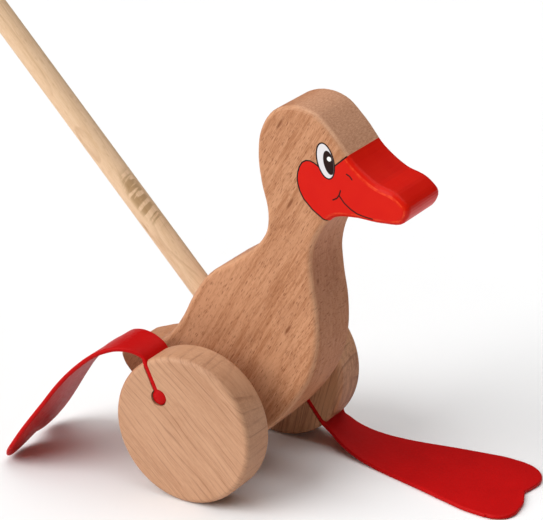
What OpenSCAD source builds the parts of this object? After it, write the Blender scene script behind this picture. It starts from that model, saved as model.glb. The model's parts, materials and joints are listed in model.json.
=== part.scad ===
// Push-along waddling duck: a plank body on a wheelset with two flexible flapping feet.
// Millimetres. +X is the way the duck faces, +Y its left, +Z up.
// The origin is on the floor, straight below the axle.

/* [Body] */
// Thickness of the plank that the duck is cut from
body_t = 30; // [26:1:30]
// Radius of the rounded edges of the plank
body_edge_r = 3; // [2:0.5:4]

/* [Wheels] */
// Diameter of each wheel
wheel_d = 70; // [68:1:76]
// Width of each wheel
wheel_w = 18.4; // [16:0.2:22]
// Radius of the rounded rims of the wheels
wheel_edge_r = 2.5; // [1:0.5:4]
// Distance between the two wheels' inner faces
wheel_gap = 62.6; // [58:0.2:70]
// Diameter of the axle
axle_d = 10; // [8:0.5:12]
// Radial running clearance of the axle in the body
axle_play = 0.08; // [0.02:0.01:0.1]
// How deep the axle is glued into each wheel
axle_seat = 12; // [8:1:14]
// Outer diameter of the spacer rings on the axle
spacer_d = 22; // [18:1:30]

/* [Feet] */
// Length of the flapping part of each foot, from its hinge to the toes
foot_len = 107; // [90:1:110]
// Width of each foot at the wheel
foot_root_w = 18.4; // [14:0.2:18.4]
// Greatest width of each foot, at the toes
foot_toe_w = 50; // [40:1:50]
// Thickness of the rubber
foot_t = 2; // [1.6:0.1:2.4]
// Angle of the right foot's keyhole, from +X towards +Z
keyhole_angle_right = 130.7; // [125:0.1:135]
// Angle of the left foot's keyhole, from +X towards +Z
keyhole_angle_left = -35.6; // [-38:0.1:-33]
// Radius of the keyhole's round end
keyhole_r = 4; // [3.5:0.1:4.5]
// Distance of the keyhole's round end from the axle
keyhole_pitch = 18; // [16:0.5:20]
// Width of the keyhole's slot
slot_w = 2.5; // [2.5:0.1:3]

/* [Push stick] */
// Diameter of the stick
stick_d = 11; // [9:0.5:13]
// Length of the stick, with the end that is glued into the body
stick_len = 500; // [300:10:560]
// How deep the stick is glued into the body
stick_seat = 35; // [25:1:38]
// Angle of the stick above the horizontal
stick_angle = 46; // [44:0.5:48]
// Diameter of the round knob on the stick
knob_d = 38; // [30:1:50]
// How deep the stick is glued into the knob
knob_seat = 20; // [12:1:24]

/* [Hidden] */
$fn = 96;
axle_z = wheel_d / 2;
wheel_y = (wheel_gap + wheel_w) / 2;
spacer_play = 0.3;
cut = 1;

// Outline of the duck seen from its right, as (x, z) from the axle centre:
// tail, back, neck, head, beak, chest and belly. stick_entry lies on its back.
duck_outline = [
    [-56.5, 11.2], [-47, 17.2], [-36.5, 21.3], [-29, 27.6], [-22.5, 37], [-17, 48], [-8, 61],
    [5.5, 71.2], [17, 80], [22, 88], [22.7, 97], [19.5, 110], [17.8, 122], [19.2, 134.5],
    [25, 143.8], [35, 148.2], [46, 146.8], [56, 138.8], [66, 127.6], [76.5, 120.8],
    [87, 117.4], [92.4, 111.8], [89.5, 105.2], [80, 103.2], [65, 102.9], [56.5, 101.2],
    [49.3, 93], [45.4, 80], [46.2, 68], [48.7, 53], [49, 39], [45.3, 22.5], [36, 6.4],
    [24, -7.3], [10, -19.8], [0, -24.8], [-13, -24.2], [-27, -15.5], [-42, -4.5],
    [-51.5, 2.6], [-55.5, 7.6]];
outline_steps = 5;
stick_entry = [-18.7, 44.8];

// Spans of the feet's centre lines, from hinge to toes. The right foot arches over and
// hangs down behind its wheel, and the left foot curves down and lies on the floor.
// Right: (x, z) from the hinge.
right_foot_path = [
    [0, 0], [-3.4, 1.7], [-8.2, 2.8], [-13.5, 2.3], [-20, -0.5], [-30.2, -7.2],
    [-40.5, -17.3], [-51.6, -32.2], [-75, -69]];
// Left: x from the hinge, and z as a fraction of the hinge's height above the flat part.
left_foot_path = [
    [0, 1], [3.2, 0.66], [8, 0.38], [14, 0.19], [22, 0.06], [30, 0], [60, 0], [115, 0]];
path_steps = 8;
// The foot flares out by this much in its first stretch, then widens evenly
foot_flare = 4.4;
foot_flare_len = 6;
toe_corner_r = 13;
toe_notch = 3.5;
toe_notch_half_w = 7;
foot_rows = 26;
foot_cols = 16;
foot_lift = 0.05;

// Angle between the slot's own direction and the keyhole's angle
slot_skew = -15.2;
bead_r = keyhole_r - 0.4;
// Round inner end of a flap, on its hinge axis
knuckle_r = foot_t / 2 + 0.15;
knuckle_len = foot_root_w - 1;
hinge_gap = 0.3;

// A point of the cubic curve from p1 to p2 that also heeds its neighbours p0 and p3
function chord_slope(a, b, c) =
    let (d0 = norm(b - a), d1 = norm(c - b)) ((b - a) * d1 / d0 + (c - b) * d0 / d1) / (d0 + d1);
function curve_point(p0, p1, p2, p3, t) =
    let (d = norm(p2 - p1), m1 = d * chord_slope(p0, p1, p2), m2 = d * chord_slope(p1, p2, p3))
    (2 * t ^ 3 - 3 * t ^ 2 + 1) * p1 + (t ^ 3 - 2 * t ^ 2 + t) * m1
    + (3 * t ^ 2 - 2 * t ^ 3) * p2 + (t ^ 3 - t ^ 2) * m2;
function closed_curve(p, steps) =
    let (n = len(p))
    [for (i = [0:n - 1], k = [0:steps - 1])
        curve_point(p[(i + n - 1) % n], p[i], p[(i + 1) % n], p[(i + 2) % n], k / steps)];
function open_curve(p, steps) =
    let (n = len(p), q = concat([2 * p[0] - p[1]], p, [2 * p[n - 1] - p[n - 2]]))
    concat([for (i = [0:n - 2], k = [0:steps - 1])
        curve_point(q[i], q[i + 1], q[i + 2], q[i + 3], k / steps)], [p[n - 1]]);

// Distance along a line of points, at each point
function lengths_along(p) =
    [for (i = 0, s = 0; i < len(p); s = s + (i < len(p) - 1 ? norm(p[i + 1] - p[i]) : 0), i = i + 1) s];
function table_of(p, axis) = let (s = lengths_along(p)) [for (i = [0:len(p) - 1]) [s[i], p[i][axis]]];

function polar(r, angle) = [r * cos(angle), r * sin(angle)];
function keyhole_centre(angle) = polar(keyhole_pitch, angle);
// Distance from the keyhole's centre, along its slot, to the circle of radius r about the axle
function slot_reach(angle, r) =
    let (c = keyhole_centre(angle), b = c * polar(1, angle + slot_skew))
    -b + sqrt(b * b - c * c + r * r);
function hinge_point(angle) =
    let (reach = slot_reach(angle, wheel_d / 2) + hinge_gap + knuckle_r)
    keyhole_centre(angle) + polar(reach, angle + slot_skew) + [0, axle_z];

right_hinge = hinge_point(keyhole_angle_right);
left_hinge = hinge_point(keyhole_angle_left);
flat_z = foot_t / 2 + foot_lift;
right_centre_line = [for (p = open_curve(right_foot_path, path_steps)) right_hinge + p];
left_centre_line = [for (p = open_curve(left_foot_path, path_steps))
    [left_hinge[0] + p[0], flat_z + p[1] * (left_hinge[1] - flat_z)]];

// Half the foot's width at distance s from the hinge
function foot_half_w(s) =
    let (even = foot_toe_w - foot_root_w - foot_flare, full = foot_len - toe_corner_r)
    (foot_root_w + foot_flare * (1 - exp(-s / foot_flare_len)) + even * min(s / full, 1)) / 2;
// Length of the foot along its line number t, from -1 at one side to 1 at the other
function foot_reach(t) =
    let (y = abs(t) * foot_toe_w / 2, corner = max(y - foot_toe_w / 2 + toe_corner_r, 0))
    foot_len - toe_corner_r + sqrt(max(toe_corner_r ^ 2 - corner ^ 2, 0))
    - toe_notch * max(1 - y / toe_notch_half_w, 0);

// Lies a part drawn in the plane of (x, z) along Y, centred on Y = 0
module across(length) {
    rotate([90, 0, 0]) linear_extrude(length, center = true) children();
}

module cylinder_y(r, length) {
    rotate([90, 0, 0]) cylinder(r = r, h = length, center = true);
}

// Moves a part whose own axis is Z onto the stick's axis, starting at its glued end
module along_stick() {
    translate([stick_entry[0], 0, stick_entry[1] + axle_z]) rotate([0, stick_angle - 90, 0])
        translate([0, 0, -stick_seat]) children();
}

module body() {
    color("burlywood") difference() {
        translate([0, 0, axle_z]) minkowski() {
            across(body_t - 2 * body_edge_r) offset(delta = -body_edge_r)
                polygon(closed_curve(duck_outline, outline_steps));
            sphere(r = body_edge_r, $fn = 20);
        }
        translate([0, 0, axle_z]) cylinder_y(axle_d / 2 + axle_play, body_t + 2 * cut);
        along_stick() cylinder(d = stick_d, h = stick_seat + 4 * stick_d);
    }
}

module push_stick() {
    color("wheat") along_stick() cylinder(d = stick_d, h = stick_len);
}

module handle_knob() {
    color("burlywood") along_stick() difference() {
        translate([0, 0, stick_len - knob_seat + knob_d / 2]) sphere(d = knob_d);
        cylinder(d = stick_d, h = stick_len);
    }
}

module axle() {
    color("tan") translate([0, 0, axle_z]) cylinder_y(axle_d / 2, wheel_gap + 2 * axle_seat);
}

// side is -1 for the right wheel and 1 for the left
module wheel(side, keyhole_angle) {
    centre = keyhole_centre(keyhole_angle);
    translate([0, side * wheel_y, axle_z]) difference() {
        rotate([90, 0, 0]) rotate_extrude() wheel_profile();
        translate([0, side * (axle_seat - wheel_w) / 2, 0])
            translate([0, -side * axle_seat / 2, 0]) cylinder_y(axle_d / 2, axle_seat);
        translate([centre[0], 0, centre[1]]) {
            cylinder_y(keyhole_r, wheel_w + 2 * cut);
            rotate([0, -keyhole_angle - slot_skew, 0])
                translate([0, -wheel_w / 2 - cut, -slot_w / 2])
                cube([wheel_d, wheel_w + 2 * cut, slot_w]);
        }
    }
}

// Half section of a wheel, from its axis outwards
module wheel_profile() {
    r = wheel_d / 2;
    translate([0, -wheel_w / 2]) square([r - wheel_edge_r, wheel_w]);
    translate([0, wheel_edge_r - wheel_w / 2]) square([r, wheel_w - 2 * wheel_edge_r]);
    for (side = [-1, 1]) translate([r - wheel_edge_r, side * (wheel_w / 2 - wheel_edge_r)])
        circle(wheel_edge_r);
}

module wheel_right() { color("burlywood") wheel(-1, keyhole_angle_right); }
module wheel_left() { color("burlywood") wheel(1, keyhole_angle_left); }

module spacer(side) {
    length = (wheel_gap - body_t) / 2 - spacer_play;
    color("tan") translate([0, side * (wheel_gap - length) / 2, axle_z]) difference() {
        cylinder_y(spacer_d / 2, length);
        cylinder_y(axle_d / 2, length + 2 * cut);
    }
}

module spacer_right() { spacer(-1); }
module spacer_left() { spacer(1); }

// The bead and web of a foot, held in the wheel's keyhole
module foot_root(side, keyhole_angle) {
    centre = keyhole_centre(keyhole_angle);
    web_len = slot_reach(keyhole_angle, wheel_d / 2);
    color("red") translate([centre[0], side * wheel_y, centre[1] + axle_z]) {
        cylinder_y(bead_r, foot_root_w);
        rotate([0, -keyhole_angle - slot_skew, 0])
            translate([0, -foot_root_w / 2, -foot_t / 2]) cube([web_len, foot_root_w, foot_t]);
    }
}

module foot_right_root() { foot_root(-1, keyhole_angle_right); }
module foot_left_root() { foot_root(1, keyhole_angle_left); }

// The flapping sheet of a foot, swept along its centre line of (x, z) points
module foot_flap(side, hinge, centre_line) {
    x_at = table_of(centre_line, 0);
    z_at = table_of(centre_line, 1);
    sheet = [for (face = [1, -1], i = [0:foot_rows], j = [0:foot_cols])
        let (t = 2 * j / foot_cols - 1, s = foot_reach(t) * i / foot_rows,
            ahead = [lookup(s + 1, x_at) - lookup(s, x_at), lookup(s + 1, z_at) - lookup(s, z_at)],
            up = face * foot_t / 2 * [-ahead[1], ahead[0]] / norm(ahead))
        [lookup(s, x_at) + up[0], t * foot_half_w(s), lookup(s, z_at) + up[1]]];
    color("red") translate([0, side * wheel_y, 0]) {
        polyhedron(sheet, sheet_faces(foot_rows, foot_cols), convexity = 6);
        translate([hinge[0], 0, hinge[1]]) cylinder_y(knuckle_r, knuckle_len);
    }
}

// Faces of a closed sheet of rows by cols quads, whose second face follows its first
function sheet_faces(rows, cols) =
    let (w = cols + 1, other = (rows + 1) * w,
        rim = concat([for (j = [0:cols - 1]) j], [for (i = [0:rows - 1]) i * w + cols],
            [for (j = [cols:-1:1]) rows * w + j], [for (i = [rows:-1:1]) i * w]),
        quads = [for (i = [0:rows - 1], j = [0:cols - 1])
            [i * w + j, i * w + j + 1, (i + 1) * w + j + 1, (i + 1) * w + j]])
    concat(
        [for (q = quads) each [[q[0], q[1], q[2]], [q[0], q[2], q[3]]]],
        [for (q = quads) each [[q[2] + other, q[1] + other, q[0] + other],
            [q[3] + other, q[2] + other, q[0] + other]]],
        [for (k = [0:len(rim) - 1]) let (a = rim[k], b = rim[(k + 1) % len(rim)])
            each [[b, a, a + other], [b, a + other, b + other]]]);

module foot_right_flap() { foot_flap(-1, right_hinge, right_centre_line); }
module foot_left_flap() { foot_flap(1, left_hinge, left_centre_line); }

body();
push_stick();
handle_knob();
axle();
wheel_right();
wheel_left();
spacer_right();
spacer_left();
foot_right_root();
foot_left_root();
foot_right_flap();
foot_left_flap();
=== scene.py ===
import json
import math

import bmesh
import bpy
from mathutils import Matrix, Vector


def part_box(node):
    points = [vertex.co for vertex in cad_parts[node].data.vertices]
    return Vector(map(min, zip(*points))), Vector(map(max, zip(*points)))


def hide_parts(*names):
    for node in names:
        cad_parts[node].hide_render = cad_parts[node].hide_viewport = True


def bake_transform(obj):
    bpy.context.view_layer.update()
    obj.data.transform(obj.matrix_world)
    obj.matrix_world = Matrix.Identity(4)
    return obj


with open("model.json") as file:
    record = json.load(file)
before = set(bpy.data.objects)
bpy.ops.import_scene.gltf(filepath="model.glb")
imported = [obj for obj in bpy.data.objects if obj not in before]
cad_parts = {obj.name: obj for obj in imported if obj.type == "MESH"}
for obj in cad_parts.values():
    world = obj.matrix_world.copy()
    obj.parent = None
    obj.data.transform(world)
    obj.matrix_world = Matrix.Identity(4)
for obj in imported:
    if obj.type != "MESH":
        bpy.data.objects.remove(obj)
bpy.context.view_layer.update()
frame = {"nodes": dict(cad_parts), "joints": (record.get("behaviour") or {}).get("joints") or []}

MM = 0.001
JOINTS = {joint["name"]: joint for joint in frame["joints"]}
AXLE = Vector(JOINTS["axle_spin"]["pos_m"])
BODY_HALF_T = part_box("body")[1].y

WOOD_BUMP = 0.00012
RUBBER_BUMP = 0.00006
SHARP_EDGE = math.radians(30)


def srgb(red, green, blue):
    """The linear colour, with alpha, of an sRGB colour in 0 to 255."""
    def linear(value):
        value /= 255
        return value / 12.92 if value <= 0.04045 else ((value + 0.055) / 1.055) ** 2.4
    return (linear(red), linear(green), linear(blue), 1)


# ---------------------------------------------------------------- materials

class Shade:
    """One material's node tree, with a short call for each kind of node that it uses."""

    def __init__(self, name, **shader_values):
        self.material = bpy.data.materials.new(name)
        self.material.use_nodes = True
        self.tree = self.material.node_tree
        self.tree.nodes.clear()
        self.shader = self.add("ShaderNodeBsdfPrincipled")
        for socket, value in shader_values.items():
            self.shader.inputs[socket.replace("_", " ")].default_value = value
        output = self.add("ShaderNodeOutputMaterial")
        self.tree.links.new(self.shader.outputs[0], output.inputs["Surface"])

    def add(self, kind, **properties):
        node = self.tree.nodes.new(kind)
        for key, value in properties.items():
            setattr(node, key, value)
        return node

    def feed(self, node, socket, value):
        """Links a node's output to a socket, or sets the socket's own number, vector or colour."""
        target = node.inputs[socket]
        if isinstance(value, bpy.types.NodeSocket):
            self.tree.links.new(value, target)
        else:
            target.default_value = value

    def to_shader(self, socket, value):
        self.feed(self.shader, socket, value)

    def math(self, operation, *values, clamp=False):
        node = self.add("ShaderNodeMath", operation=operation, use_clamp=clamp)
        for index, value in enumerate(values):
            self.feed(node, index, value)
        return node.outputs[0]

    def position(self):
        """The object's own coordinates, in millimetres."""
        coords = self.add("ShaderNodeTexCoord").outputs["Object"]
        return self.scaled(coords, (1 / MM,) * 3)

    def normal(self):
        return self.add("ShaderNodeTexCoord").outputs["Normal"]

    def scaled(self, vector, factors):
        node = self.add("ShaderNodeVectorMath", operation="MULTIPLY")
        self.feed(node, 0, vector)
        self.feed(node, 1, factors)
        return node.outputs[0]

    def moved(self, vector, offset):
        node = self.add("ShaderNodeVectorMath", operation="ADD")
        self.feed(node, 0, vector)
        self.feed(node, 1, offset)
        return node.outputs[0]

    def turned(self, vector, euler):
        node = self.add("ShaderNodeMapping")
        self.feed(node, "Vector", vector)
        node.inputs["Rotation"].default_value = euler
        return node.outputs[0]

    def split(self, vector):
        node = self.add("ShaderNodeSeparateXYZ")
        self.feed(node, 0, vector)
        return node.outputs

    def joined(self, x, y, z):
        node = self.add("ShaderNodeCombineXYZ")
        for index, value in enumerate((x, y, z)):
            self.feed(node, index, value)
        return node.outputs[0]

    def noise(self, vector, scale=1.0, detail=2.0, roughness=0.5, distortion=0.0):
        node = self.add("ShaderNodeTexNoise")
        for socket, value in (("Vector", vector), ("Scale", scale), ("Detail", detail),
                              ("Roughness", roughness), ("Distortion", distortion)):
            self.feed(node, socket, value)
        return node.outputs["Fac"]

    def cells(self, vector, scale=1.0, randomness=1.0):
        """Distance to the nearest of scattered points, and that point's own random number."""
        node = self.add("ShaderNodeTexVoronoi")
        for socket, value in (("Vector", vector), ("Scale", scale), ("Randomness", randomness)):
            self.feed(node, socket, value)
        return node.outputs["Distance"], self.split(node.outputs["Color"])[0]

    def ramp(self, value, low, high, to_low=0.0, to_high=1.0):
        """value's range low to high, carried smoothly to the range to_low to to_high."""
        node = self.add("ShaderNodeMapRange", interpolation_type="SMOOTHSTEP")
        for socket, number in (("Value", value), ("From Min", low), ("From Max", high),
                               ("To Min", to_low), ("To Max", to_high)):
            self.feed(node, socket, number)
        return node.outputs["Result"]

    def mix(self, share, first, second):
        node = self.add("ShaderNodeMix", data_type="RGBA", blend_type="MIX")
        self.feed(node, 0, share)
        self.feed(node, 6, first)
        self.feed(node, 7, second)
        return node.outputs[2]

    def mix_value(self, share, first, second):
        node = self.add("ShaderNodeMix", data_type="FLOAT")
        self.feed(node, 0, share)
        self.feed(node, 2, first)
        self.feed(node, 3, second)
        return node.outputs[0]

    def bump(self, height, distance):
        """Raises the surface by height, 0 to 1, times distance in metres."""
        node = self.add("ShaderNodeBump")
        self.feed(node, "Strength", 1.0)
        self.feed(node, "Distance", distance)
        self.feed(node, "Height", height)
        self.to_shader("Normal", node.outputs[0])

    # Signed distances in a plane, in millimetres: negative inside.

    def length(self, u, v):
        return self.math("SQRT", self.math("MULTIPLY_ADD", u, u, self.math("MULTIPLY", v, v)))

    def oval(self, u, v, centre, radii, tilt=0.0):
        """About the distance to an oval, whose first radius lies tilt degrees from the u axis."""
        c, s = math.cos(math.radians(tilt)), math.sin(math.radians(tilt))
        du = self.math("SUBTRACT", u, centre[0])
        dv = self.math("SUBTRACT", v, centre[1])
        along = self.math("MULTIPLY_ADD", du, c, self.math("MULTIPLY", dv, s))
        across = self.math("MULTIPLY_ADD", dv, c, self.math("MULTIPLY", du, -s))
        spread = self.length(self.math("DIVIDE", along, radii[0]), self.math("DIVIDE", across, radii[1]))
        slope = self.length(self.math("DIVIDE", along, radii[0] ** 2),
                            self.math("DIVIDE", across, radii[1] ** 2))
        reach = self.math("MULTIPLY", spread, self.math("SUBTRACT", spread, 1.0))
        return self.math("DIVIDE", reach, self.math("MAXIMUM", slope, 1e-4))

    def stroke(self, u, v, points):
        """Distance to a line through the points."""
        nearest = None
        for (u0, v0), (u1, v1) in zip(points, points[1:]):
            du, dv = u1 - u0, v1 - v0
            pu = self.math("SUBTRACT", u, u0)
            pv = self.math("SUBTRACT", v, v0)
            dot = self.math("MULTIPLY_ADD", pu, du, self.math("MULTIPLY", pv, dv))
            share = self.math("DIVIDE", dot, du * du + dv * dv, clamp=True)
            gap = self.length(self.math("MULTIPLY_ADD", share, -du, pu),
                              self.math("MULTIPLY_ADD", share, -dv, pv))
            nearest = gap if nearest is None else self.math("MINIMUM", nearest, gap)
        return nearest

    def inside(self, distance, soft=0.08):
        """1 where a distance is negative, 0 where it is positive, over a soft edge."""
        return self.ramp(distance, -soft, soft, 1.0, 0.0)


class Wood:
    """A wood's colours in sRGB, and how strongly each of its markings shows."""

    def __init__(self, pale, deep, fleck, end, rays, marks, streaks, lines, roughness):
        self.pale = srgb(*pale)
        self.deep = srgb(*deep)
        self.fleck = srgb(*fleck)
        self.end = srgb(*end)
        self.rays = rays
        self.marks = marks
        self.streaks = streaks
        self.lines = lines
        self.roughness = roughness


BEECH = Wood(pale=(203, 148, 111), deep=(170, 113, 77), fleck=(132, 78, 49), end=(240, 194, 162),
             rays=0.75, marks=0.85, streaks=0.9, lines=0.15, roughness=0.55)
WHEEL_BEECH = Wood(pale=(200, 153, 119), deep=(178, 129, 95), fleck=(134, 86, 58), end=(196, 146, 112),
                   rays=0.0, marks=0.0, streaks=0.5, lines=0.48, roughness=0.55)
# The far wheel's wood: darker and more saturated than the near wheel's as painted shade, with stronger
# ring lines and streaks of its own grain.
FAR_WHEEL_BEECH_WITH_PAINTED_SHADE = Wood(pale=(200, 148, 108), deep=(158, 104, 70), fleck=(128, 78, 48), end=(192, 138, 102),
                       rays=0.0, marks=0.2, streaks=1.0, lines=0.6, roughness=0.55)
BIRCH = Wood(pale=(230, 196, 160), deep=(215, 177, 137), fleck=(168, 122, 82), end=(206, 172, 138),
             rays=0.2, marks=0.6, streaks=0.6, lines=0.3, roughness=0.5)
# Millimetres from one growth ring to the next.
RING_PITCH = 3.1


def wood_surface(shade, wood, grain_turn, radial, seed):
    """Wood's colour and height at each point. grain_turn brings the grain's direction onto X.

    radial says which way the tree's rings are crossed: "depth" across the plank's
    thickness, or "face" across its face. seed moves the piece to its own place in the tree."""
    along, first, second = shade.split(shade.turned(shade.moved(shade.position(), seed), grain_turn))
    radius, tangent = (first, second) if radial == "depth" else (second, first)
    sway = shade.noise(shade.scaled(shade.joined(along, radius, tangent), (0.02,) * 3), detail=1.0)
    radius = shade.math("MULTIPLY_ADD", sway, 6.0, radius)
    coords = shade.joined(along, radius, tangent)
    facing = shade.split(shade.turned(shade.normal(), grain_turn))[0]
    end_on = shade.ramp(shade.math("ABSOLUTE", facing), 0.6, 0.92)

    def stretched(per_along, per_radius, per_tangent):
        return shade.scaled(coords, (per_along, per_radius, per_tangent))

    band = shade.noise(stretched(0.008, 0.09, 0.07), detail=3.0, roughness=0.6)
    streak = shade.noise(stretched(0.035, 0.6, 0.6), detail=3.0, roughness=0.6)
    fibre = shade.noise(stretched(0.2, 3.0, 3.0), detail=3.0, roughness=0.7)
    tone = shade.math("MULTIPLY_ADD", shade.math("SUBTRACT", band, 0.5), 0.75, 0.55)
    tone = shade.math("MULTIPLY_ADD", shade.math("SUBTRACT", streak, 0.5), wood.streaks, tone)
    tone = shade.math("MULTIPLY_ADD", shade.math("SUBTRACT", fibre, 0.5), 0.8, tone)
    colour = shade.mix(shade.ramp(tone, 0.25, 0.75), wood.deep, wood.pale)
    end_tone = shade.ramp(shade.noise(stretched(0.05, 0.5, 1.7), detail=4.0, roughness=0.75), 0.3, 0.7)
    end_colour = shade.mix(shade.math("MULTIPLY", end_tone, 0.7), wood.end, wood.deep)
    colour = shade.mix(shade.math("MULTIPLY", end_on, 0.85), colour, end_colour)

    # Growth rings: thin dark lines along the grain, which carry on round the piece.
    place = shade.math("MULTIPLY_ADD", shade.noise(stretched(0.012, 0.05, 0.01)), 4.0,
                       shade.math("DIVIDE", radius, RING_PITCH))
    ring = shade.math("MULTIPLY", shade.ramp(shade.math("FRACT", place), 0.7, 0.93),
                      shade.ramp(shade.math("FRACT", place), 0.94, 1.0, 1.0, 0.0))
    hair = shade.ramp(shade.noise(stretched(0.015, 2.4, 0.05), detail=2.0), 0.56, 0.7)
    broken = shade.ramp(shade.noise(stretched(0.05, 0.4, 0.1), detail=2.0), 0.35, 0.65, 0.15, 1.0)
    line = shade.math("MULTIPLY", shade.math("MAXIMUM", ring, shade.math("MULTIPLY", hair, 0.7)), broken)
    colour = shade.mix(shade.math("MULTIPLY", line, wood.lines), colour, wood.fleck)

    # Rays: thin sheets that run outwards from the tree's middle, seen end on as short dashes.
    gap, chance = shade.cells(stretched(0.22, 0.2, 1.2))
    ray = shade.math("MULTIPLY", shade.ramp(gap, 0.12, 0.36, 1.0, 0.0), shade.ramp(chance, 0.2, 0.8))
    small_gap, small_chance = shade.cells(stretched(0.36, 0.4, 2.2))
    small_ray = shade.math("MULTIPLY", shade.ramp(small_gap, 0.12, 0.4, 0.75, 0.0),
                           shade.ramp(small_chance, 0.1, 0.7))
    ray = shade.math("MAXIMUM", ray, small_ray)
    ray = shade.math("MULTIPLY", ray, shade.math("MULTIPLY_ADD", end_on, -0.75, 1.0))
    colour = shade.mix(shade.math("MULTIPLY", ray, wood.rays), colour, wood.fleck)

    # A few longer, darker marks.
    mark_gap, mark_chance = shade.cells(stretched(0.035, 0.12, 0.16))
    mark = shade.math("MULTIPLY", shade.ramp(mark_gap, 0.05, 0.16, 1.0, 0.0),
                      shade.ramp(mark_chance, 0.55, 0.75))
    mark = shade.math("MULTIPLY", mark, shade.math("SUBTRACT", 1.0, end_on))
    colour = shade.mix(shade.math("MULTIPLY", mark, wood.marks), colour, wood.fleck)

    height = shade.math("MULTIPLY_ADD", fibre, 0.6, shade.math("MULTIPLY", ray, -0.5))
    height = shade.math("MULTIPLY_ADD", line, -0.3 * wood.lines, height)
    return colour, height


# The stick's direction in the side view, in degrees from +X towards +Z, and its curled patch:
# its middle as (along the stick, over the stick) and its half sizes, in millimetres.
STICK_ANGLE = 134
CURL_AT = (121.5, 47.0)
CURL_REACH = (17.0, 4.5)


def grain_in_side_view(angle):
    """The turn that brings a grain at this angle from +X towards +Z onto X."""
    return (0, math.radians(angle), 0)


def wood_material(name, wood, grain_turn, radial, seed):
    shade = Shade(name, Roughness=wood.roughness, Specular_IOR_Level=0.35)
    colour, height = wood_surface(shade, wood, grain_turn, radial, seed)
    shade.to_shader("Base Color", colour)
    shade.bump(height, WOOD_BUMP)
    return shade.material


def stick_material():
    """Birch, with one patch where the grain curls and shows as dark bars across the stick."""
    shade = Shade("stick_birch", Roughness=BIRCH.roughness, Specular_IOR_Level=0.35)
    colour, height = wood_surface(shade, BIRCH, grain_in_side_view(STICK_ANGLE), "depth", (3, 40, 0))
    x, y, z = shade.split(shade.position())
    c, s = math.cos(math.radians(STICK_ANGLE)), math.sin(math.radians(STICK_ANGLE))
    along = shade.math("MULTIPLY_ADD", x, c, shade.math("MULTIPLY", z, s))
    over = shade.math("MULTIPLY_ADD", x, s, shade.math("MULTIPLY", z, -c))
    away = shade.length(shade.math("DIVIDE", shade.math("SUBTRACT", along, CURL_AT[0]), CURL_REACH[0]),
                        shade.math("DIVIDE", shade.math("SUBTRACT", over, CURL_AT[1]), CURL_REACH[1]))
    slant = shade.math("MULTIPLY_ADD", over, -0.45, along)
    bars = shade.ramp(shade.noise(shade.joined(shade.math("MULTIPLY", slant, 0.42),
                                               shade.math("MULTIPLY", over, 0.12),
                                               shade.math("MULTIPLY", y, 0.12)), detail=2.0), 0.4, 0.56)
    near_side = shade.ramp(y, -1.0, 1.5, 1.0, 0.0)
    curl = shade.math("MULTIPLY", shade.ramp(away, 0.55, 1.1, 0.75, 0.0),
                      shade.math("MULTIPLY", bars, near_side))
    shade.to_shader("Base Color", shade.mix(curl, colour, srgb(158, 122, 76)))
    shade.bump(height, WOOD_BUMP)
    return shade.material


# The face's print, as (x, z) in millimetres from the axle centre.
EYE_CENTRE = (52.4, 126.8)
EYE_RADII = (8.0, 4.1)
EYE_TILT = 105
PUPIL_CENTRE = (54.1, 126.3)
PUPIL_RADII = (5.4, 2.6)
GLINT_CENTRE = (54.2, 128.0)
GLINT_R = 1.05
LINE_HALF_W = 0.33
CHEEK_LINE = [
    (64, 132), (60, 128.2), (56.9, 125.4), (53, 123.6), (49.1, 123.6), (46.9, 124.8), (44.9, 125.4),
    (42.8, 125.2), (40.9, 124.0), (39.6, 121.8), (38.8, 119.2), (38.5, 116.4), (38.9, 113.7),
    (39.9, 110.7), (41.8, 107.5), (46.2, 103.4), (52.0, 99.9), (55.2, 99.0)]
SMILE = [(59.2, 112.5), (62.0, 109.4), (65.1, 107.3), (68.3, 105.9), (71.8, 105.3), (75.5, 105.0)]
DIMPLE = [(56.3, 109.9), (58.2, 111.0), (59.3, 112.6), (59.9, 114.8)]
NOSTRIL = [(62.8, 122.8), (64.3, 122.2), (65.4, 120.9)]


def painted_side(shade, u, v):
    """1 on the beak's side of the cheek line, and 0 on the wood's side."""
    crossings = None
    for (u0, v0), (u1, v1) in zip(CHEEK_LINE, CHEEK_LINE[1:]):
        # The line crosses this point's height inside this stretch, to its left.
        low, high = min(v0, v1), max(v0, v1)
        if high - low < 1e-6:
            continue
        in_span = shade.math("MULTIPLY", shade.math("GREATER_THAN", v, low),
                             shade.math("SUBTRACT", 1.0, shade.math("GREATER_THAN", v, high)))
        slope = (u1 - u0) / (v1 - v0)
        crossing = shade.math("MULTIPLY_ADD", v, slope, u0 - v0 * slope)
        left = shade.math("MULTIPLY", in_span, shade.math("GREATER_THAN", u, crossing))
        crossings = left if crossings is None else shade.math("ADD", crossings, left)
    return shade.math("FLOORED_MODULO", crossings, 2.0)


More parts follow.
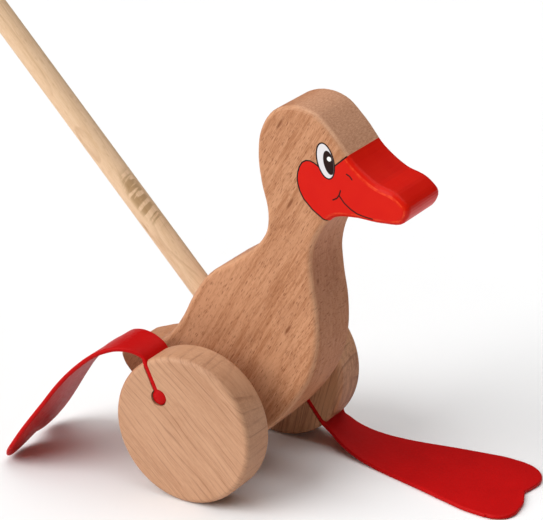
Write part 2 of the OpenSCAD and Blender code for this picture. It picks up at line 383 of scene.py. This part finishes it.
def body_material():
    """Beech, with the beak lacquered red and the face printed on both sides."""
    shade = Shade("duck_beech_and_paint", Specular_IOR_Level=0.3, IOR=1.3)
    colour, height = wood_surface(shade, BEECH, grain_in_side_view(59.5), "depth", (0, 0, 0))

    # Painted shade makes the narrow faces darker and redder, and a painted highlight makes the rounded
    # edges a little paler.
    side_on = shade.math("ABSOLUTE", shade.split(shade.normal())[1])
    # Painted shade on the narrow faces.
    colour = shade.mix(shade.ramp(side_on, 0.1, 0.8, 0.4, 0.0), colour, srgb(164, 104, 70))
    # Painted highlight: the rounded edges are a little paler.
    edge = shade.math("MULTIPLY", shade.ramp(side_on, 0.05, 0.5),
                      shade.ramp(side_on, 0.7, 0.99, 1.0, 0.0))
    colour = shade.mix(shade.math("MULTIPLY", edge, 0.3), colour, srgb(214, 168, 134))

    # The beak's lacquer, paler along its rounded edges: partly wear, partly a painted highlight.
    u, depth, v = shade.split(shade.moved(shade.position(), (0, 0, -AXLE.z / MM)))
    on_flat = shade.ramp(shade.math("ABSOLUTE", depth), BODY_HALF_T / MM - 1.6, BODY_HALF_T / MM - 0.9)
    red = painted_side(shade, u, v)
    ink = srgb(36, 14, 12)
    lacquer = shade.mix(shade.noise(shade.position(), 0.12, 2.0), srgb(204, 12, 2), srgb(212, 26, 4))
    # Painted highlight, partly wear: a pale band along the rounding, broken up by noise.
    wear_and_painted_highlight = shade.math("MULTIPLY", shade.ramp(side_on, 0.8, 0.9),
                      shade.ramp(side_on, 0.93, 0.99, 1.0, 0.0))
    wear_and_painted_highlight = shade.math("MULTIPLY", wear_and_painted_highlight,
                      shade.ramp(shade.noise(shade.position(), 0.5, 3.0), 0.35, 0.65, 0.2, 0.8))
    lacquer = shade.mix(wear_and_painted_highlight, lacquer, srgb(236, 74, 38))
    colour = shade.mix(red, colour, lacquer)

    # The printed lines and the eye, on the flat sides only.
    line_gap = shade.stroke(u, v, CHEEK_LINE)
    for points in (SMILE, DIMPLE, NOSTRIL):
        line_gap = shade.math("MINIMUM", line_gap, shade.stroke(u, v, points))
    lines = shade.inside(shade.math("SUBTRACT", line_gap, LINE_HALF_W))
    colour = shade.mix(shade.math("MULTIPLY", lines, on_flat), colour, ink)

    eye_gap = shade.oval(u, v, EYE_CENTRE, EYE_RADII, EYE_TILT)
    pupil_gap = shade.oval(u, v, PUPIL_CENTRE, PUPIL_RADII, EYE_TILT)
    glint_gap = shade.oval(u, v, GLINT_CENTRE, (GLINT_R, GLINT_R))
    outline = shade.inside(shade.math("SUBTRACT", eye_gap, LINE_HALF_W))
    white = shade.inside(shade.math("ADD", eye_gap, LINE_HALF_W))
    colour = shade.mix(shade.math("MULTIPLY", outline, on_flat), colour, ink)
    colour = shade.mix(shade.math("MULTIPLY", white, on_flat), colour, srgb(222, 218, 220))
    pupil = shade.math("MULTIPLY", shade.inside(pupil_gap), white)
    colour = shade.mix(shade.math("MULTIPLY", pupil, on_flat), colour, ink)
    glint = shade.math("MULTIPLY", shade.inside(glint_gap), on_flat)
    colour = shade.mix(glint, colour, srgb(245, 243, 240))
    shade.to_shader("Base Color", colour)

    coated = shade.math("MAXIMUM", red, shade.math("MULTIPLY", outline, on_flat))
    shade.to_shader("Roughness", shade.mix_value(coated, BEECH.roughness, 0.36))
    shade.bump(shade.math("MULTIPLY", height, shade.mix_value(coated, 1.0, 0.12)), WOOD_BUMP)
    return shade.material


def rubber_material():
    """Matt red rubber with a faint mottling, a fine grain and a few specks of dust."""
    shade = Shade("red_rubber", Specular_IOR_Level=0.1)
    where = shade.position()
    mottle = shade.noise(where, 0.06, 3.0)
    colour = shade.mix(mottle, srgb(174, 2, 3), srgb(194, 6, 7))
    dust_gap, dust_chance = shade.cells(where, 0.16)
    dust = shade.math("MULTIPLY", shade.ramp(dust_gap, 0.03, 0.07, 1.0, 0.0),
                      shade.ramp(dust_chance, 0.6, 0.7))
    colour = shade.mix(shade.math("MULTIPLY", dust, 0.35), colour, srgb(226, 120, 110))
    shade.to_shader("Base Color", colour)
    shade.to_shader("Roughness", shade.ramp(shade.noise(where, 0.5, 3.0), 0.3, 0.7, 0.42, 0.54))
    grain = shade.math("ADD", shade.noise(where, 1.4, 3.0), shade.noise(where, 0.25, 1.0))
    shade.bump(grain, RUBBER_BUMP)
    return shade.material


def dress_cad_nodes():
    """Gives each CAD node that stays in view its wood, and smooth shading on its round faces."""
    along_stick = grain_in_side_view(STICK_ANGLE)
    along_axle = (0, 0, math.radians(-90))
    finishes = {
        "body": body_material(),
        "push_stick": stick_material(),
        "handle_knob": wood_material("knob_beech", BEECH, along_stick, "depth", (70, 0, 0)),
        "axle": wood_material("axle_birch", BIRCH, along_axle, "depth", (0, 9, 5)),
        "wheel_right": wood_material("wheel_right_beech", WHEEL_BEECH, grain_in_side_view(-41.5),
                                     "face", (31, 0, 12)),
        # The far wheel gets the darker wood, which carries painted shade.
        "wheel_left": wood_material("wheel_left_beech_painted_shade", FAR_WHEEL_BEECH_WITH_PAINTED_SHADE, grain_in_side_view(75),
                                    "face", (-60, 0, 30)),
        "spacer_right": wood_material("spacer_right_birch", BIRCH, along_axle, "depth", (8, 0, 0)),
        "spacer_left": wood_material("spacer_left_birch", BIRCH, along_axle, "depth", (0, 0, 21)),
    }
    for name, material in finishes.items():
        node = frame["nodes"][name]
        node.data.materials.clear()
        node.data.materials.append(material)
        smooth_round_faces(node)


def smooth_round_faces(piece):
    """Shades faces smooth where they meet at less than SHARP_EDGE, led by the larger faces."""
    for polygon in piece.data.polygons:
        polygon.use_smooth = True
    for edge, angle in edge_angles(piece.data):
        edge.use_edge_sharp = angle > SHARP_EDGE
    weighted = piece.modifiers.new("weighted_normals", "WEIGHTED_NORMAL")
    weighted.keep_sharp = True
    weighted.weight = 100


def edge_angles(mesh):
    """Each edge of a mesh with the angle between its two faces."""
    faces_at = {}
    for polygon in mesh.polygons:
        for key in polygon.edge_keys:
            faces_at.setdefault(key, []).append(polygon.normal.copy())
    for edge in mesh.edges:
        normals = faces_at.get(edge.key, [])
        if len(normals) == 2 and normals[0].length > 0 and normals[1].length > 0:
            yield edge, normals[0].angle(normals[1])


# ---------------------------------------------------------------- feet

# Sizes of both feet, in millimetres.
WEB_W = 18.3
BEAD_W = 17.5
SHEET_HALF_T = 1.0
WEB_HALF_T = 1.24
BEAD_R = 3.6
RIM_R = 0.8
KEYHOLE_PITCH = 18.0
TOE_CORNER_R = 12.0
TOE_NOTCH_HALF_W = 11.0
TOE_NOTCH_POWER = 1.2
# How soon the web swells into the bead.
SWELL_LEN = 1.3
# How many steps the mesh takes over each stretch of a foot, and over its section.
BEAD_STEPS = 14
WEB_STEPS = 9
FLAP_STEPS = 64
RIM_STEPS = 5
SECTION_COLUMNS = 36
SECTION_CORNER = 5

# Each foot's own shape. Distances are in millimetres and angles in radians:
# keyhole: where the bead sits round the axle, in degrees
# path: its centre line as (x, z) from the hinge
# widths, twist, drift: (distance outside the hinge, width, angle or move towards +Y)
# length: from the hinge to the toes' ends
# notch: the gap between the toes, as (line number, depth)
# skew: how much further the toes reach on the right than on the left
# outwards: the way from root to flap, which never turns back along the path
FEET = {
    "right": {
        "keyhole": 130.7,
        "path": [(-2.5, 1.5), (-6.7, 2.6), (-12.5, 2.5), (-19, 0.4), (-30.2, -7.6), (-43.3, -20.1),
                 (-56.1, -36.5), (-67.9, -53.6), (-79.2, -70.6)],
        "widths": [(0, 17.4), (8, 20.5), (16, 24.5), (28, 33), (94, 55)],
        "twist": [(0, 0), (30, 0), (60, -0.12), (105, -0.1)],
        "drift": [(0, 0), (14, 0), (105, 5.5)],
        "length": 105.5, "notch": (0.0, 4.0), "skew": 0.0,
        "outwards": (-1, 0, 0.25)},
    "left": {
        "keyhole": -35.6,
        "path": [(3.2, -1.6), (8, -4.1), (14, -6.4), (22, -8.1), (30, -8.8), (60, -8.9), (115, -8.9)],
        "widths": [(0, 17.4), (8, 19.5), (16, 23.4), (28, 28.8), (50, 37.6), (94, 54.5)],
        "twist": [(0, 0), (105, 0)],
        "drift": [(0, 0), (8, -1), (50, -2.9), (105, -6.6)],
        "length": 106.5, "notch": (0.1, 3.4), "skew": 3.2,
        "outwards": (1, 0, -0.8)},
}


def between(points, at):
    """The value at a place on a line of (place, value) points, held level past both ends."""
    for (a, low), (b, high) in zip(points, points[1:]):
        if at < b:
            return low + (high - low) * max(at - a, 0) / (b - a)
    return points[-1][1]


def eased(points, at, reach=4.0):
    """Like between, with the corners rounded over the given reach."""
    return sum(between(points, at + reach * step / 3) for step in range(-3, 4)) / 7


def curve_point(before, start, end, after, t):
    """A point on the smooth curve from start to end that also heeds its two neighbours."""
    def slope(a, b, c):
        first, second = (b - a).length, (c - b).length
        return ((b - a) * second / first + (c - b) * first / second) / (first + second)
    span = (end - start).length
    return ((2 * t ** 3 - 3 * t ** 2 + 1) * start
            + (t ** 3 - 2 * t ** 2 + t) * span * slope(before, start, end)
            + (3 * t ** 2 - 2 * t ** 3) * end
            + (t ** 3 - t ** 2) * span * slope(start, end, after))


class CentreLine:
    """A smooth line in the plane of (x, z), measured along its length from its first point."""

    STEPS = 12
    NORMAL_REACH = 0.4

    def __init__(self, points):
        ends = [2 * points[0] - points[1]] + points + [2 * points[-1] - points[-2]]
        self.line = [curve_point(*ends[i:i + 4], k / self.STEPS)
                     for i in range(len(points) - 1) for k in range(self.STEPS)] + [points[-1]]
        self.at = [0.0]
        for a, b in zip(self.line, self.line[1:]):
            self.at.append(self.at[-1] + (b - a).length)

    def point(self, s):
        if s <= 0:
            return self.line[0] + (self.line[1] - self.line[0]).normalized() * s
        index = next((i for i, at in enumerate(self.at) if at > s), len(self.at) - 1)
        share = (s - self.at[index - 1]) / (self.at[index] - self.at[index - 1])
        return self.line[index - 1].lerp(self.line[index], share)

    def normal(self, s):
        ahead = (self.point(s + self.NORMAL_REACH) - self.point(s - self.NORMAL_REACH)).normalized()
        return Vector((-ahead.y, ahead.x))


def flap_reach(foot, t):
    """How far a foot reaches along its line number t, from -1 at its right side to 1 at its left."""
    toe_half_w = foot["widths"][-1][1] / 2
    y = abs(t) * toe_half_w
    corner = max(y - toe_half_w + TOE_CORNER_R, 0)
    notch_at, notch_depth = foot["notch"]
    notch_share = max(1 - abs(t - notch_at) * toe_half_w / TOE_NOTCH_HALF_W, 0)
    notch = notch_depth * notch_share ** TOE_NOTCH_POWER
    rounded = TOE_CORNER_R - math.sqrt(max(TOE_CORNER_R ** 2 - corner ** 2, 0))
    return foot["length"] - rounded - notch - foot["skew"] * t


def foot_rows(slot_len):
    """A foot's cross sections from bead to toes.

    Each is (share of the flap, distance outside that place, width, half thickness). The share is
    None in the wheel, and the width is None on the flap, where the foot's own widths hold."""
    rows = []
    for step in range(1, BEAD_STEPS - 1):
        angle = math.pi * step / BEAD_STEPS
        rows.append((None, -slot_len - BEAD_R * math.cos(angle), BEAD_W, BEAD_R * math.sin(angle)))
    neck, neck_half_t = rows[-1][1], rows[-1][3]
    for step in range(1, WEB_STEPS):
        outside = neck * (1 - step / WEB_STEPS)
        swell = (neck_half_t - WEB_HALF_T) * math.exp((neck - outside) / SWELL_LEN)
        rows.append((None, outside, WEB_W, WEB_HALF_T + swell))
    for step in range(FLAP_STEPS):
        rows.append((step / FLAP_STEPS, 0, None, SHEET_HALF_T))
    for step in range(RIM_STEPS + 1):
        angle = math.pi / 2 * step / RIM_STEPS
        rim_half_t = SHEET_HALF_T - RIM_R * (1 - math.cos(angle))
        rows.append((1, RIM_R * (math.sin(angle) - 1), None, rim_half_t))
    return rows


def foot_section(half_w, half_t):
    """The outline of one cross section, as (line number, offset across, height)."""
    rim = min(RIM_R, half_t * 0.98)
    lines = [math.sin(math.pi * (i / SECTION_COLUMNS - 0.5)) for i in range(SECTION_COLUMNS + 1)]
    loop = []
    for side in (1, -1):
        loop += [(side * t, side * t * (half_w - rim), side * half_t) for t in lines]
        for step in range(1, SECTION_CORNER):
            angle = math.pi / 2 - math.pi * step / SECTION_CORNER
            flat = math.copysign(half_t - rim, angle)
            loop.append((side, side * (half_w - rim + rim * math.cos(angle)),
                         side * (flat + rim * math.sin(angle))))
    return loop


def foot_mesh(name, foot):
    """One rubber foot, from the bead in the wheel's keyhole to the toes."""
    hinge = Vector(JOINTS[f"foot_{name}_flex"]["pos_m"]) / MM
    angle = math.radians(foot["keyhole"])
    bead = AXLE.xz / MM + KEYHOLE_PITCH * Vector((math.cos(angle), math.sin(angle)))
    slot = [bead.lerp(hinge.xz, share) for share in (0, 0.4, 0.8, 0.93, 1)]
    centre = CentreLine(slot + [hinge.xz + Vector(point) for point in foot["path"]])
    slot_len = (hinge.xz - bead).length
    vertices, loops = [], []
    for share, outside, width, half_t in foot_rows(slot_len):
        loop = []
        if width is None:
            width = eased(foot["widths"], share * foot["length"])
        for t, across, height in foot_section(width / 2, half_t):
            s = (share or 0) * flap_reach(foot, t) + outside
            lift = height + across * math.sin(eased(foot["twist"], s))
            spot = centre.point(s + slot_len) + centre.normal(s + slot_len) * lift
            y = hinge.y + across + eased(foot["drift"], s)
            loop.append(len(vertices))
            vertices.append((spot.x * MM, y * MM, spot.y * MM))
        loops.append(loop)
    size = len(loops[0])
    faces = [(a[i], a[(i + 1) % size], b[(i + 1) % size], b[i])
             for a, b in zip(loops, loops[1:]) for i in range(size)]
    for loop in (loops[0], loops[-1]):
        faces.extend(end_cap(loop))
    mesh = bpy.data.meshes.new(f"foot_{name}")
    mesh.from_pydata(vertices, [], faces)
    piece = bpy.data.objects.new(f"foot_{name}", mesh)
    bpy.context.scene.collection.objects.link(piece)
    face_outwards(piece)
    return piece


def end_cap(loop):
    """Faces that close a cross section, between its top row and its bottom row."""
    side_steps = SECTION_CORNER - 1
    top = loop[:SECTION_COLUMNS + 1]
    right = loop[len(top):len(top) + side_steps]
    bottom = loop[len(top) + side_steps:2 * len(top) + side_steps]
    left = loop[2 * len(top) + side_steps:]
    under = bottom[::-1]
    caps = [(top[i], top[i + 1], under[i + 1], under[i]) for i in range(SECTION_COLUMNS)]
    return caps + [(top[-1], *right, bottom[0]), (bottom[-1], *left, top[0])]


def face_outwards(piece):
    """Joins points that coincide, turns every face outwards and shades it smooth."""
    mesh = bmesh.new()
    mesh.from_mesh(piece.data)
    bmesh.ops.remove_doubles(mesh, verts=mesh.verts, dist=1e-7)
    bmesh.ops.recalc_face_normals(mesh, faces=mesh.faces)
    mesh.to_mesh(piece.data)
    mesh.free()
    for polygon in piece.data.polygons:
        polygon.use_smooth = True


def build_feet(rubber):
    for name, foot in FEET.items():
        piece = foot_mesh(name, foot)
        piece.data.materials.append(rubber)
        hinge = Vector(JOINTS[f"foot_{name}_flex"]["pos_m"])
        way = Vector(foot["outwards"]).normalized()
        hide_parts(f"foot_{name}_root", f"foot_{name}_flap")
        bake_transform(piece)


# ---------------------------------------------------------------- stage

# Each lamp's direction, strength and spread in degrees.
SUNS = {"key": ((-0.45, -0.68, 0.58), 2.75, 50), "fill": ((0.05, 0.15, 0.98), 1.75, 70)}
WORLD_STRENGTH = 0.07
CAMERA_AZIMUTH = 31.445
CAMERA_ELEVATION = 22.624
CAMERA_LENS = 170.54
CAMERA_FROM_AXLE = (0.566635, -0.899717, 0.507715)


def build_floor():
    bpy.ops.mesh.primitive_plane_add(size=12, location=(0, 2, 0))
    floor = bpy.context.object
    floor.name = "floor"
    shade = Shade("floor_white", Roughness=0.9, Specular_IOR_Level=0.1)
    mottle = shade.noise(shade.position(), 0.01, 2.0)
    shade.to_shader("Base Color", shade.mix(mottle, (0.9, 0.9, 0.9, 1), (0.92, 0.92, 0.92, 1)))
    floor.data.materials.append(shade.material)


def add_sun(name, towards, strength, spread):
    """A soft, even light that comes from the given direction."""
    data = bpy.data.lights.new(name, "SUN")
    data.energy = strength
    data.angle = math.radians(spread)
    light = bpy.data.objects.new(name, data)
    light.rotation_euler = (-Vector(towards)).to_track_quat("-Z", "Y").to_euler()
    bpy.context.scene.collection.objects.link(light)


def build_lights():
    world = bpy.data.worlds.new("studio")
    world.use_nodes = True
    background = world.node_tree.nodes["Background"]
    background.inputs["Color"].default_value = (1, 1, 1, 1)
    background.inputs["Strength"].default_value = WORLD_STRENGTH
    bpy.context.scene.world = world
    for name, values in SUNS.items():
        add_sun(name, *values)
    bpy.context.scene.view_settings.view_transform = "Standard"


def build_camera():
    data = bpy.data.cameras.new("camera")
    data.sensor_width = 36
    data.lens = CAMERA_LENS
    data.clip_start, data.clip_end = 0.05, 50
    camera = bpy.data.objects.new("camera", data)
    azimuth, elevation = math.radians(CAMERA_AZIMUTH), math.radians(CAMERA_ELEVATION)
    right = Vector((math.cos(azimuth), math.sin(azimuth), 0))
    ahead = Vector((-math.sin(azimuth) * math.cos(elevation),
                    math.cos(azimuth) * math.cos(elevation),
                    -math.sin(elevation)))
    up = right.cross(ahead)
    turn = Matrix((right, up, -ahead)).transposed().to_4x4()
    camera.matrix_world = Matrix.Translation(AXLE + Vector(CAMERA_FROM_AXLE)) @ turn
    bpy.context.scene.collection.objects.link(camera)
    bpy.context.scene.camera = camera


build_camera()
build_lights()
build_floor()
dress_cad_nodes()
build_feet(rubber_material())
